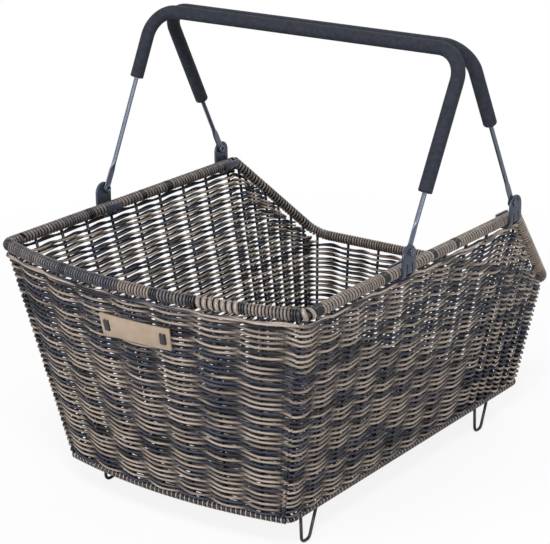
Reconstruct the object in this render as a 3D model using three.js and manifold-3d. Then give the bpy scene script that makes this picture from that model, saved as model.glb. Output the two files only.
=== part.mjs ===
// Rear bicycle basket: a welded wire frame twined with synthetic cane, a saddle cut-out at one end, two
// folding carrying handles with foam grips, and four wire feet. Millimetres, +Z up, +Y towards the saddle
// end, with the origin on the ground under the middle of the basket.
import * as THREE from 'three';
import { mergeVertices } from 'three/addons/utils/BufferGeometryUtils.js';
import Module from 'manifold-3d';

const wasm = await Module();
wasm.setup();

// Rim and base, all between wire centres
const rimWidth = 316;
const rimLength = 322; // level part of each side
const rimBow = 29; // how far the front rim bows out past its corners
const rimHeight = 196; // above the base wire
const slopeRun = 105.5; // the cut-out's sloping rims, along Y
const slopeDrop = 97; // and down to the rear rail
const railWidth = 267;
const baseWidth = 238;
const baseSetback = 28; // front base corners behind the front rim corners
const railSetback = 21.5; // rear base wire in front of the rear rail
const baseBow = 14.5;
const frontBend = 9; // bend radii of the rim wire
const saddleBend = 6;
const railBend = 20;
const baseBend = 10;

// Wires and cane
const rimWireRadius = 3;
const baseWireRadius = 1.75;
const stakeRadius = 1.7;
const rimWrapRadius = 5.25;
const baseWrapRadius = 3.1;
const caneThickness = 2.7;
const clearance = 0.32; // between pieces that seat on each other
const frontBays = 8; // gaps between stakes, from corner stake to corner stake
const foreBays = 4; // on each side, up to the stake under the front bracket
const middleBays = 5; // from there to the stake under the rear bracket
const closeBays = 7; // and on to the rear corner, closer together
const rearBays = 7;
const openTop = 4; // bare stakes between the weave and the rear rail
const crestHalf = 2.6; // half the flat on top of each rib of the base mat
const strandLap = 0.3; // the weave's half thickness between two stakes, beyond half a strand
const courses = 18; // level ribs on the outside of the weave, each for two or so of the real courses
const grooveShare = 0.6; // of the weave's half thickness that is left between two ribs
const tieSetback = 3; // the side wrapping ends this far before the slope

// Handles
const pivotRise = 15.8; // above the rim wire
const frontPivot = 136.5; // along Y from the front rim corners
const rearPivot = 306.6;
const handleLength = 171.3; // pivot to bar
const handleBend = 25;
const frontSplay = 2.9; // how much wider a handle is at its bar than at its pivots, on each side
const rearSplay = -1.1;
const handleWireRadius = 2;
const gripRadius = 6.1;
const gripGap = 0.4; // between the two bars where they lean together
const strapWidth = 7.8;
const strapThickness = 1.6;
const strapLength = 26;
const forgedLength = 9; // over which the strap turns round
const strapHole = 2.5;
const eyeStations = [0.97, 0.8, 0.4, 0]; // below the pivot, as shares of half the strap's width
const frontGripLeft = 65; // how far each end of the foam reaches down from the bar
const frontGripRight = 121;
const rearGripLeft = 109;
const rearGripRight = 81;

// Brackets and rivets
const bracketWidth = 19;
const bracketRise = 22.4;
const bracketSheet = 2;
const bracketLip = 4; // inner lip above the rim wire's centre
const pivotOffset = 2.6; // pivot nearer the middle of the basket than the bracket is
const windowHalf = 4.6; // the stake passes between the two claws
const slotWidth = 1.5;
const slotTop = 7;
const slotFoot = -2;
const slotLap = 1; // how far the slots run into the window below them
const keySlotRadius = 4.8; // curved slot beside the pivot
const keySlotWidth = 1.3;
const keySlotSweep = 60; // degrees round the pivot
const keySlotFrontTurn = -15; // where it starts, up from level
const keySlotRearTurn = 135;
const rivetRadius = 2.1;
const rivetHole = 2.4;
const rivetHead = 3.9;
const rivetTail = 3.2;
const rivetHeadThickness = 1.3;
const rivetTailThickness = 1;
const rivetBore = 1.2;
const rivetEdge = 0.6;
const rivetPlay = 0.3;

// Feet and name patch
const footWireRadius = 1.5;
const footDepth = 25; // below the base wrapping
const footHalfTop = 11;
const footHalfBottom = 5.4;
const footBend = 5.2;
const footLean = 4.5; // the loops lean this far forward
const frontFoot = 55.5; // along Y from the front rim corners
const rearFoot = 337.5;
const patchWidth = 74;
const patchHeight = 20;
const patchThickness = 2;
const patchOffset = 7; // to the right of the middle
const patchDrop = 26.7; // its upper edge below the rim wire, along the wall
const patchSlotHeight = 10;
const patchSlotWidth = 1.8;
const patchSlotInset = 5;
const patchSlotPitch = 4;
const tieThickness = 0.9;
const patchGap = 0.5; // from the ribs behind it

// Facets
const frameSides = 6;
const stakeSides = 5;
const sleeveSides = 7;
const wireSides = 8;
const gripSides = 10;
const bendSteps = 4;
const bowSteps = 5;
const plateSteps = 8;
const shortestStep = 1;
const weaveStep = 3.8; // a bend's facets nearer than this to a rib are left out
const seamStep = 0.5; // and nearer than this to a seam

const footLift = footDepth + baseWrapRadius; // ground to base wire
const overallFront = -rimBow - rimWrapRadius;
const overallRear = rimLength + slopeRun + rimWrapRadius;
const overallMiddle = (overallFront + overallRear) / 2;

const material = (color, roughness, metalness = 0) =>
  new THREE.MeshStandardMaterial({ color, roughness, metalness });
const caneMaterial = material(0x6b6055, 0.65);
const wrapMaterial = material(0x857a6c, 0.6);
const steelMaterial = material(0x24262b, 0.5, 0.6);
const plateMaterial = material(0x3b404c, 0.45, 0.6);
const foamMaterial = material(0x3a3e47, 0.95);
const leatherMaterial = material(0xb89a78, 0.7);
const tieMaterial = material(0x1d1e22, 0.5);

const v = (x, y, z) => new THREE.Vector3(x, y, z);

// A run of points that an extrusion follows exactly, with mitred corners.
class Route extends THREE.Curve {
  constructor(points) {
    super();
    this.points = points;
  }

  getPoint(t) {
    const last = this.points.length - 1;
    const place = t * last;
    const index = Math.min(Math.floor(place), last - 1);
    return this.points[index].clone().lerp(this.points[index + 1], place - index);
  }

  getPointAt(t) {
    return this.getPoint(t);
  }

  getTangentAt(t) {
    const last = this.points.length - 1;
    const index = Math.round(t * last);
    const tangent = v(0, 0, 0);
    if (index > 0) tangent.add(this.points[index].clone().sub(this.points[index - 1]).normalize());
    if (index < last) tangent.add(this.points[index + 1].clone().sub(this.points[index]).normalize());
    return tangent.normalize();
  }
}

// The same for runs that are never upright, with the section's x axis held downwards
class LevelRoute extends Route {
  frameAt(t) {
    const tangent = this.getTangentAt(t);
    const binormal = v(0, 0, 1).cross(tangent).normalize();
    return { tangent, normal: binormal.clone().cross(tangent), binormal };
  }

  computeFrenetFrames(steps) {
    const frames = Array.from({ length: steps + 1 }, (_, i) => this.frameAt(i / steps));
    return {
      tangents: frames.map((frame) => frame.tangent),
      normals: frames.map((frame) => frame.normal),
      binormals: frames.map((frame) => frame.binormal),
    };
  }
}

// Rounds the inner corners of a polyline to the given radii; 0 leaves a corner sharp. Also gives the index of
// the middle point of each bend.
function bendWire(corners, radii, steps = bendSteps) {
  const points = [corners[0]];
  const middles = [];
  for (let i = 1; i < corners.length - 1; i++) {
    if (!radii[i]) {
      points.push(corners[i]);
      continue;
    }
    const back = corners[i - 1].clone().sub(corners[i]).normalize();
    const ahead = corners[i + 1].clone().sub(corners[i]).normalize();
    const half = back.angleTo(ahead) / 2;
    const inward = back.clone().add(ahead).normalize();
    const centre = corners[i].clone().addScaledVector(inward, radii[i] / Math.sin(half));
    const trim = radii[i] / Math.tan(half);
    const from = corners[i].clone().addScaledVector(back, trim).sub(centre);
    const to = corners[i].clone().addScaledVector(ahead, trim).sub(centre);
    const sweep = Math.PI - 2 * half;
    for (let k = 0; k <= steps; k++) {
      const a = Math.sin(sweep * (1 - k / steps)) / Math.sin(sweep);
      const b = Math.sin(sweep * k / steps) / Math.sin(sweep);
      points.push(centre.clone().addScaledVector(from, a).addScaledVector(to, b));
    }
    middles.push(points.length - 1 - steps / 2);
  }
  points.push(corners[corners.length - 1]);
  return { points, middles };
}

// Distance run in plan at each point
function planLengths(points) {
  const lengths = [0];
  for (let i = 1; i < points.length; i++) {
    lengths.push(lengths[i - 1] + Math.hypot(points[i].x - points[i - 1].x, points[i].y - points[i - 1].y));
  }
  return lengths;
}

// Half of a wire loop, from the middle of the front round the right side to the middle of the rear
function halfLoop(halfWidth, cornerY, bow, z, rest, radii) {
  const corners = [];
  for (let k = 0; k <= bowSteps; k++) {
    const share = k / bowSteps;
    corners.push(v(halfWidth * share, cornerY - bow * (1 - share * share), z));
  }
  const { points, middles } = bendWire([...corners, ...rest], [...Array(bowSteps).fill(0), ...radii, 0]);
  const lengths = planLengths(points);
  return {
    points,
    lengths,
    front: lengths[middles[0]],
    rear: lengths[middles[middles.length - 1]],
    total: lengths[lengths.length - 1],
  };
}

function loopPoint(loop, length) {
  let i = 1;
  while (i < loop.lengths.length - 1 && loop.lengths[i] < length) i++;
  const span = loop.lengths[i] - loop.lengths[i - 1];
  return loop.points[i - 1].clone().lerp(loop.points[i], (length - loop.lengths[i - 1]) / span);
}

const railZ = rimHeight - slopeDrop;
const railY = rimLength + slopeRun;
const baseRear = railY - railSetback;
const rim = halfLoop(rimWidth / 2, 0, rimBow, rimHeight, [
  v(rimWidth / 2, rimLength, rimHeight),
  v(railWidth / 2, railY, railZ),
  v(0, railY, railZ),
], [frontBend, saddleBend, railBend]);
const base = halfLoop(baseWidth / 2, baseSetback, baseBow, 0, [
  v(baseWidth / 2, baseRear, 0),
  v(0, baseRear, 0),
], [baseBend, baseBend]);

// The place on one loop that matches a place on the other: corners to corners and evenly in between
function carried(length, from, to) {
  const here = [0, from.front, from.rear, from.total];
  const there = [0, to.front, to.rear, to.total];
  const i = length <= from.front ? 1 : length <= from.rear ? 2 : 3;
  return there[i - 1] + (there[i] - there[i - 1]) * (length - here[i - 1]) / (here[i] - here[i - 1]);
}

// The straight line up the wall at a distance s along the rim, counted in plan from the middle of the front
// round by the right. Negative s and s past the middle of the rear lie on the left side.
function ruling(s) {
  const left = s < 0 || s > rim.total;
  const length = s < 0 ? -s : Math.min(s, 2 * rim.total - s);
  const foot = loopPoint(base, carried(length, rim, base));
  const top = loopPoint(rim, length);
  if (left) {
    foot.x = -foot.x;
    top.x = -top.x;
  }
  return { foot, top };
}

// Outward direction of the wall
function wallNormal(s) {
  const step = 0.5;
  const a = ruling(s - step);
  const b = ruling(s + step);
  const along = b.foot.add(b.top).sub(a.foot).sub(a.top);
  const { foot, top } = ruling(s);
  return along.cross(top.sub(foot)).normalize();
}

// A point of the wall: s along the rim, h up the ruling from the base wire, w out from its middle surface
function wallPoint(s, h, w) {
  const { foot, top } = ruling(s);
  const up = top.sub(foot).normalize();
  return foot.addScaledVector(up, h).addScaledVector(wallNormal(s), w);
}

const wallHeight = (s) => {
  const { foot, top } = ruling(s);
  return top.distanceTo(foot);
};

// Where the stakes stand along the rim, right half from the front
const spaced = (from, to, bays) =>
  Array.from({ length: bays - 1 }, (_, i) => from + (to - from) * (i + 1) / bays);

function sidePlace(y) {
  const i = rim.points.findIndex((point) => point.y > y);
  const share = (y - rim.points[i - 1].y) / (rim.points[i].y - rim.points[i - 1].y);
  return rim.lengths[i - 1] + (rim.lengths[i] - rim.lengths[i - 1]) * share;
}

const cornerStake = rim.front;
const frontBracketStake = sidePlace(frontPivot - pivotOffset);
const rearBracketStake = sidePlace(rearPivot + pivotOffset);
const mirror = (s) => 2 * rim.total - s;
const frontStakes = spaced(-cornerStake, cornerStake, frontBays);
const foreStakes = spaced(cornerStake, frontBracketStake, foreBays);
const middleStakes = spaced(frontBracketStake, rearBracketStake, middleBays);
const closeStakes = spaced(rearBracketStake, rim.rear, closeBays);
const rearStakes = spaced(rim.rear, mirror(rim.rear), rearBays);
const rightStakes = [
  cornerStake, ...foreStakes, frontBracketStake, ...middleStakes, rearBracketStake, ...closeStakes, rim.rear,
];
const leftStakes = rightStakes.map(mirror);
const stakes = [...frontStakes, ...rightStakes, ...rearStakes, ...leftStakes];

// Shapes
function polygon(radius, sides, turn = 0.5) {
  return Array.from({ length: sides }, (_, i) => {
    const angle = (i + turn) * 2 * Math.PI / sides;
    return new THREE.Vector2(radius * Math.cos(angle), radius * Math.sin(angle));
  });
}

const rod = (radius, sides) => new THREE.Shape(polygon(radius, sides));

function sleeve(outer, inner, sides) {
  const shape = rod(outer, sides);
  shape.holes.push(new THREE.Path(polygon(inner, sides).reverse()));
  return shape;
}

const sweep = (shape, points) =>
  new THREE.ExtrudeGeometry(shape, { extrudePath: new Route(points), steps: points.length - 1 });

function rodBetween(a, b, radius, sides, turned = 0) {
  const geometry = new THREE.CylinderGeometry(radius, radius, a.distanceTo(b), sides, 1, false, turned);
  const turn = new THREE.Quaternion().setFromUnitVectors(v(0, 1, 0), b.clone().sub(a).normalize());
  return geometry.applyQuaternion(turn).translate((a.x + b.x) / 2, (a.y + b.y) / 2, (a.z + b.z) / 2);
}

function box(x0, x1, y0, y1, z0, z1) {
  const geometry = new THREE.BoxGeometry(x1 - x0, y1 - y0, z1 - z0);
  return geometry.translate((x0 + x1) / 2, (y0 + y1) / 2, (z0 + z1) / 2);
}

// Extrudes an outline drawn in Y and Z along X
function extrudeX(shape, x0, x1, curveSegments = 6) {
  const geometry = new THREE.ExtrudeGeometry(shape, { depth: x1 - x0, bevelEnabled: false, curveSegments });
  const axes = new THREE.Matrix4().makeBasis(v(0, 1, 0), v(0, 0, 1), v(1, 0, 0));
  return geometry.applyMatrix4(axes).translate(x0, 0, 0);
}

// Extrudes an outline drawn in X and Z along Y
function extrudeY(shape, y0, y1, curveSegments = 6) {
  const geometry = new THREE.ExtrudeGeometry(shape, { depth: y1 - y0, bevelEnabled: false, curveSegments });
  const axes = new THREE.Matrix4().makeBasis(v(1, 0, 0), v(0, 0, 1), v(0, -1, 0));
  return geometry.applyMatrix4(axes).translate(0, y1, 0);
}

// Turns every triangle round when the surface faces inwards
function facingOut(geometry) {
  const place = geometry.attributes.position;
  const index = geometry.index.array;
  const corner = [v(0, 0, 0), v(0, 0, 0), v(0, 0, 0)];
  let volume = 0;
  for (let i = 0; i < index.length; i += 3) {
    for (let k = 0; k < 3; k++) corner[k].fromBufferAttribute(place, index[i + k]);
    volume += corner[0].dot(corner[1].cross(corner[2]));
  }
  if (volume < 0) {
    for (let i = 0; i < index.length; i += 3) [index[i], index[i + 1]] = [index[i + 1], index[i]];
  }
  return geometry;
}

function closedMesh(geometry) {
  const plain = geometry.clone();
  plain.deleteAttribute('normal');
  plain.deleteAttribute('uv');
  return facingOut(mergeVertices(plain, 1e-4));
}

function solid(geometry) {
  const mesh = closedMesh(geometry);
  return new wasm.Manifold(new wasm.Mesh({
    numProp: 3,
    vertProperties: new Float32Array(mesh.attributes.position.array),
    triVerts: new Uint32Array(mesh.index.array),
  }));
}

function geometryOf(manifold) {
  const { vertProperties, triVerts, numProp } = manifold.getMesh();
  const geometry = new THREE.BufferGeometry();
  const places = new Float32Array(vertProperties.length / numProp * 3);
  for (let i = 0; i < places.length / 3; i++) {
    for (let k = 0; k < 3; k++) places[3 * i + k] = vertProperties[numProp * i + k];
  }
  geometry.setAttribute('position', new THREE.BufferAttribute(places, 3));
  geometry.setIndex(new THREE.BufferAttribute(new Uint32Array(triVerts), 1));
  return geometry;
}

const joined = (geometries) => geometries.map(solid).reduce((whole, piece) => whole.add(piece));
const mirrored = (geometry) => closedMesh(geometry.clone().scale(-1, 1, 1));

const basket = new THREE.Group();

function addPiece(parent, name, geometry, finish) {
  const mesh = new THREE.Mesh(geometry, finish);
  mesh.name = name;
  parent.add(mesh);
  return mesh;
}

// Wire frame: rim loop, base loop, stakes and base wires, welded into one piece
function wholeLoop(loop, radius, sides = frameSides) {
  const lap = 1;
  const start = loop.points[0].clone().setX(-lap);
  const end = loop.points[loop.points.length - 1].clone().setX(-lap);
  const right = sweep(rod(radius, sides), [start, ...loop.points.slice(1, -1), end]);
  return [right, mirrored(right)];
}

function stakeLine(s) {
  const { foot, top } = ruling(s);
  return [foot, top];
}

const baseWireX = frontStakes.map((s) => ruling(s).foot.x);

function baseLine(x) {
  const share = x / (baseWidth / 2);
  const frontY = baseSetback - baseBow * (1 - share * share);
  return [v(x, frontY, 0), v(x, baseRear, 0)];
}

const straightWires = [...stakes.map(stakeLine), ...baseWireX.map(baseLine)];

const wireFrame = joined([
  ...wholeLoop(rim, rimWireRadius),
  ...wholeLoop(base, baseWireRadius),
  ...straightWires.map(([a, b]) => rodBetween(a, b, stakeRadius, stakeSides)),
]);
addPiece(basket, 'wire_frame', geometryOf(wireFrame), steelMaterial);

// The room that the stakes and base wires need in the cane round them, cut square
const squareRoom = ([a, b]) => rodBetween(a, b, (stakeRadius + clearance) * Math.SQRT2, 4, Math.PI / 4);
const stakeRoom = joined(straightWires.map(squareRoom));
const baseWireRoom = joined(baseWireX.map(baseLine).map(squareRoom));

// Feet: wire loops welded under the long base wires
const footX = [baseWireX[0], baseWidth / 2]; // the left ones hang from the long base wire next to the edge
const legTilt = Math.atan((footHalfTop + footLean - footHalfBottom) / footDepth);
const footTop = -baseWireRadius - clearance - footWireRadius * Math.sin(legTilt);
const footBottom = -footLift + footWireRadius * Math.cos(Math.PI / wireSides); // stands on a flat facet
const footSpots = [['front', frontFoot], ['rear', rearFoot]];
const footRoomReach = 0.1; // how far the room round a leg runs on past its end, as a share of the leg
const footRooms = [];

function footRoute(x, y, reach = 0) {
  const corners = [
    v(x, y - footHalfTop, footTop),
    v(x, y - footLean - footHalfBottom, footBottom),
    v(x, y - footLean + footHalfBottom, footBottom),
    v(x, y + footHalfTop, footTop),
  ];
  corners[0].lerp(corners[1], -reach);
  corners[3].lerp(corners[2], -reach);
  return bendWire(corners, [0, footBend, footBend, 0]).points;
}

for (const [end, y] of footSpots) {
  ['left', 'right'].forEach((side, i) => {
    const foot = sweep(rod(footWireRadius, wireSides), footRoute(footX[i], y));
    addPiece(basket, `${end}_${side}_foot`, foot, steelMaterial);
    footRooms.push(sweep(rod(footWireRadius + clearance, wireSides), footRoute(footX[i], y, footRoomReach)));
  });
}
const footRoom = joined(footRooms);

// A slab bent to the wall: stations give s and half thickness, low and high the heights along the ruling, and
// the outline its section as shares of the half thickness and of the height
const plainOutline = [[-1, 0], [1, 0], [1, 1], [-1, 1]];

function wallSlab(stations, low, high, offset = 0, outline = plainOutline) {
  const strip = new THREE.Shape(outline.map(([x, y]) => new THREE.Vector2(x, y)));
  const steps = stations.length - 1;
  const geometry = new THREE.ExtrudeGeometry(strip, { depth: steps, steps, bevelEnabled: false });
  const place = geometry.attributes.position;
  for (let i = 0; i < place.count; i++) {
    const [s, half] = stations[Math.round(place.getZ(i))];
    const h = low + (high(s) - low) * place.getY(i);
    const point = wallPoint(s, h, offset + place.getX(i) * half);
    place.setXYZ(i, point.x, point.y, point.z);
  }
  return geometry;
}

// Every bend of a loop between two places on it, with the two places
function marksBetween(lengths, total, from, to) {
  const marks = [...lengths, ...lengths.map((l) => -l), ...lengths.map((l) => 2 * total - l)];
  const inside = marks.filter((s) => s > from + shortestStep && s < to - shortestStep).sort((a, b) => a - b);
  return [from, ...inside.filter((s, i) => i === 0 || s - inside[i - 1] > 1e-6), to];
}

function loopAt(loop, s) {
  const point = loopPoint(loop, s < 0 ? -s : Math.min(s, 2 * loop.total - s));
  return s < 0 || s > loop.total ? point.setX(-point.x) : point;
}

// Ring section with a slit for the stakes, which come in between the angles from and to
function slitRing(outer, bore, from, to) {
  const half = stakeRadius + clearance;
  const arc = (radius) => {
    const start = to + Math.asin(half / radius);
    const end = 2 * Math.PI + from - Math.asin(half / radius);
    return Array.from({ length: sleeveSides + 1 }, (_, i) => {
      const angle = start + (end - start) * i / sleeveSides;
      return new THREE.Vector2(radius * Math.cos(angle), radius * Math.sin(angle));
    });
  };
  return new THREE.Shape([...arc(outer), ...arc(bore).reverse()]);
}

// Cane wrapped round the wires, in runs that end at the dark ties, each slit where the stakes come in
function wrapRun(name, loop, from, to, outer, wireRadius) {
  const marks = marksBetween(loop.lengths, loop.total, from + clearance / 2, to - clearance / 2);
  const path = new LevelRoute(marks.map((s) => loopAt(loop, s)));
  const steps = marks.length - 1;
  const angles = marks.map((s, i) => {
    const place = carried(s < 0 ? -s : Math.min(s, 2 * loop.total - s), loop, rim);
    const { foot, top } = ruling(s < 0 ? -place : s > loop.total ? 2 * rim.total - place : place);
    const down = foot.sub(top);
    const { normal, binormal } = path.frameAt(i / steps);
    return Math.atan2(down.dot(binormal), down.dot(normal)) + (loop === rim ? 0 : Math.PI);
  });
  const bore = (wireRadius + clearance) / Math.cos(Math.PI / sleeveSides);
  const section = slitRing(outer, bore, Math.min(...angles), Math.max(...angles));
  const run = new THREE.ExtrudeGeometry(section, { extrudePath: path, steps });
  addPiece(basket, name, geometryOf(solid(run).subtract(baseWireRoom).subtract(footRoom)), wrapMaterial);
}

const frontTie = (cornerStake + foreStakes[0]) / 2; // between two stakes, past the front corner
const slopeStart = rim.points.findIndex((point) => point.y > rimLength - saddleBend);
const saddleTie = rim.lengths[slopeStart] - tieSetback;
const railTie = rim.rear - railBend;
const frontBaseTie = base.front + 2 * baseBend;
const rearBaseTie = base.rear + 2 * baseBend;
const baseMirror = (s) => 2 * base.total - s;
const rimWrap = (name, from, to) => wrapRun(name, rim, from, to, rimWrapRadius, rimWireRadius);
const baseWrap = (name, from, to) => wrapRun(name, base, from, to, baseWrapRadius, baseWireRadius);
rimWrap('front_rim_wrap', -frontTie, frontTie);
rimWrap('right_rim_wrap', frontTie, saddleTie);
rimWrap('left_rim_wrap', mirror(saddleTie), mirror(frontTie));
rimWrap('right_slope_wrap', saddleTie, railTie);
rimWrap('left_slope_wrap', mirror(railTie), mirror(saddleTie));
rimWrap('rear_rail_wrap', railTie, mirror(railTie));
baseWrap('front_base_wrap', -frontBaseTie, frontBaseTie);
baseWrap('right_base_wrap', frontBaseTie, rearBaseTie);
baseWrap('rear_base_wrap', rearBaseTie, baseMirror(rearBaseTie));
baseWrap('left_base_wrap', baseMirror(rearBaseTie), baseMirror(frontBaseTie));

// Brackets: sheet plates that stand outside the rim and hook round it with two claws
const plateInner = (rimWrapRadius + clearance) / Math.cos(Math.PI / 2 / plateSteps); // from the rim wire
const plateOuter = plateInner + bracketSheet;
const sideX = rimWidth / 2;
const pivotZ = rimHeight + pivotRise;
const pivotStrapX = sideX + plateInner - clearance - strapThickness / 2;

function bracketSolid(towardsRear) {
  const profile = new THREE.Shape();
  profile.moveTo(plateOuter, bracketRise);
  profile.lineTo(plateOuter, 0);
  profile.absarc(0, 0, plateOuter, 0, -Math.PI, true);
  profile.lineTo(-plateOuter, bracketLip);
  profile.lineTo(-plateInner, bracketLip);
  profile.lineTo(-plateInner, 0);
  profile.absarc(0, 0, plateInner, -Math.PI, 0, false);
  profile.lineTo(plateInner, bracketRise);
  const half = bracketWidth / 2;
  const arch = new THREE.Shape();
  arch.moveTo(-half, -2 * plateOuter);
  arch.lineTo(half, -2 * plateOuter);
  arch.lineTo(half, bracketRise - half);
  arch.absarc(0, bracketRise - half, half, 0, Math.PI, false);
  const pivotY = towardsRear * pivotOffset;
  const reach = 2 * plateOuter;
  const keySlot = new THREE.Shape();
  const keySweep = THREE.MathUtils.degToRad(keySlotSweep);
  keySlot.absarc(0, 0, keySlotRadius + keySlotWidth, 0, keySweep, false);
  keySlot.absarc(0, 0, keySlotRadius, keySweep, 0, true);
  const keyTurn = THREE.MathUtils.degToRad(towardsRear > 0 ? keySlotRearTurn : keySlotFrontTurn);
  const window = box(-reach, reach, -windowHalf, windowHalf, -reach, slotFoot);
  const slots = [-1, 1].map((side) => {
    const middle = side * (windowHalf - slotWidth / 2);
    return solid(box(0, reach, middle - slotWidth / 2, middle + slotWidth / 2, slotFoot - slotLap, slotTop));
  });
  const hole = rodBetween(v(0, pivotY, pivotRise), v(reach, pivotY, pivotRise), rivetHole, gripSides);
  const key = extrudeX(keySlot, 0, reach, 3).rotateX(keyTurn).translate(0, pivotY, pivotRise);
  return slots.reduce((body, slot) => body.subtract(slot), solid(extrudeY(profile, -half, half, plateSteps)))
    .intersect(solid(extrudeX(arch, -reach, reach, plateSteps)))
    .subtract(solid(window))
    .subtract(solid(hole))
    .subtract(solid(key));
}

// Rivets: tubular, with the rolled head inside and a flat tail outside
function rivetGeometry() {
  const headFace = strapThickness / 2 + rivetPlay;
  const tailFace = strapThickness / 2 + clearance + bracketSheet + rivetPlay;
  const tip = tailFace + rivetTailThickness;
  const head = -headFace - rivetHeadThickness;
  const profile = [
    [0, -headFace + rivetBore],
    [rivetBore, -headFace + rivetBore],
    [rivetBore, head],
    [rivetHead - rivetEdge, head],
    [rivetHead, head + rivetEdge],
    [rivetHead, -headFace],
    [rivetRadius, -headFace],
    [rivetRadius, tailFace],
    [rivetTail, tailFace],
    [rivetTail, tip],
    [0, tip],
  ].map(([r, y]) => new THREE.Vector2(r, y));
  return new THREE.LatheGeometry(profile, gripSides).rotateZ(-Math.PI / 2);
}

const clipRooms = [];
for (const [end, y, inward] of [['front', frontPivot, 1], ['rear', rearPivot, -1]]) {
  const bracket = geometryOf(bracketSolid(inward));
  const middleY = y - inward * pivotOffset;
  const rivet = rivetGeometry();
  for (const [side, sign] of [['left', -1], ['right', 1]]) {
    const sided = (geometry) => (sign > 0 ? geometry : mirrored(geometry));
    const plate = addPiece(basket, `${end}_${side}_bracket`, sided(bracket), plateMaterial);
    plate.position.set(sign * sideX, middleY, rimHeight);
    const pin = addPiece(basket, `${end}_${side}_rivet`, sided(rivet), steelMaterial);
    pin.position.set(sign * pivotStrapX, y, pivotZ);
    const clip = rodBetween(
      v(sign * sideX, middleY - bracketWidth / 2 - clearance, rimHeight),
      v(sign * sideX, middleY + bracketWidth / 2 + clearance, rimHeight),
      (plateOuter + clearance) / Math.cos(Math.PI / gripSides),
      gripSides,
    );
    clipRooms.push(clip);
  }
}
const clipRoom = joined(clipRooms);

// Weave: cane twined round the stakes, thick where it passes them on both sides and thin between
const crest = stakeRadius + clearance + caneThickness;
const valley = caneThickness / 2 + strandLap;

function weaveStations(from, to) {
  const all = [-1, 0, 1].flatMap((turn) => stakes.map((s) => s + turn * 2 * rim.total)).sort((a, b) => a - b);
  const stations = [];
  all.forEach((s, i) => {
    stations.push([s, crest]);
    if (i + 1 < all.length) stations.push([(s + all[i + 1]) / 2, valley]);
  });
  const thicknessAt = (s) => {
    const next = stations.findIndex(([place]) => place >= s);
    const [s1, t1] = stations[next];
    const [s0, t0] = stations[next - 1];
    return t0 + (t1 - t0) * (s - s0) / (s1 - s0);
  };
  const bends = rim.lengths.filter((s, i) => i > bowSteps && i < rim.lengths.length - 1);
  const clearOfRibs = (s) => stations.every(([place]) => Math.abs(place - s) > weaveStep);
  const turns = [...bends, ...bends.map(mirror)].filter(clearOfRibs);
  const inner = [...stations, ...turns.map((s) => [s, thicknessAt(s)])].sort((a, b) => a[0] - b[0]);
  const within = inner.filter(([s]) => s > from + seamStep && s < to - seamStep);
  return [[from, thicknessAt(from)], ...within, [to, thicknessAt(to)]];
}

// The wrapped rim with its clearance, which comes nearest to the weave inside its bends
const rimRoomSides = 2 * sleeveSides;
const rimRoomRadius = (rimWrapRadius + clearance) / Math.cos(Math.PI / rimRoomSides);
const rimRoom = joined(wholeLoop(rim, rimRoomRadius, rimRoomSides));

// Length along the ruling that a distance square to the rim takes up
function alongRuling(s, distance) {
  const step = 1;
  const along = ruling(s + step).top.sub(ruling(s - step).top);
  const { foot, top } = ruling(s);
  return distance / Math.sin(along.angleTo(top.sub(foot)));
}

// Level ribs on the outside, as shares of the half thickness and of the wall's full height
const ribbedOutline = [[-1, 1], [-1, 0]];
for (let i = 0; i < courses; i++) {
  ribbedOutline.push([grooveShare, i / courses], [1, (i + 0.5) / courses]);
}
ribbedOutline.push([grooveShare, 1]);

// The ribs run level as if the wall were as high all round, and are cut where the rim slopes down
function weavePanel(name, from, to, topGap = 0) {
  const low = baseWrapRadius + clearance;
  const seamHalf = clearance / 2 * rimWidth / baseWidth;
  const stations = weaveStations(from + seamHalf, to - seamHalf);
  const full = (s) => wallHeight(s) * rimHeight / ruling(s).top.z;
  const ribbed = solid(wallSlab(stations, low, full, 0, ribbedOutline));
  const high = (s) => wallHeight(s) - alongRuling(s, rimWrapRadius + 2 * clearance) - topGap;
  const roomStations = [from - clearance, ...stations.slice(1, -1).map(([s]) => s), to + clearance];
  const room = wallSlab(roomStations.map((s) => [s, 2 * crest]), 0, high);
  const weave = ribbed.intersect(solid(room)).subtract(stakeRoom).subtract(clipRoom).subtract(rimRoom);
  addPiece(basket, name, geometryOf(weave), caneMaterial);
}

// The panels part in the middle of a bay beside the corner stakes
const frontSeam = (cornerStake + frontStakes[frontStakes.length - 1]) / 2;
const rearSeam = (rim.rear + rearStakes[0]) / 2;
weavePanel('front_weave', -frontSeam, frontSeam);
weavePanel('right_weave', frontSeam, rearSeam);
weavePanel('left_weave', mirror(rearSeam), mirror(frontSeam));
weavePanel('rear_weave', rearSeam, mirror(rearSeam), openTop);

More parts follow.
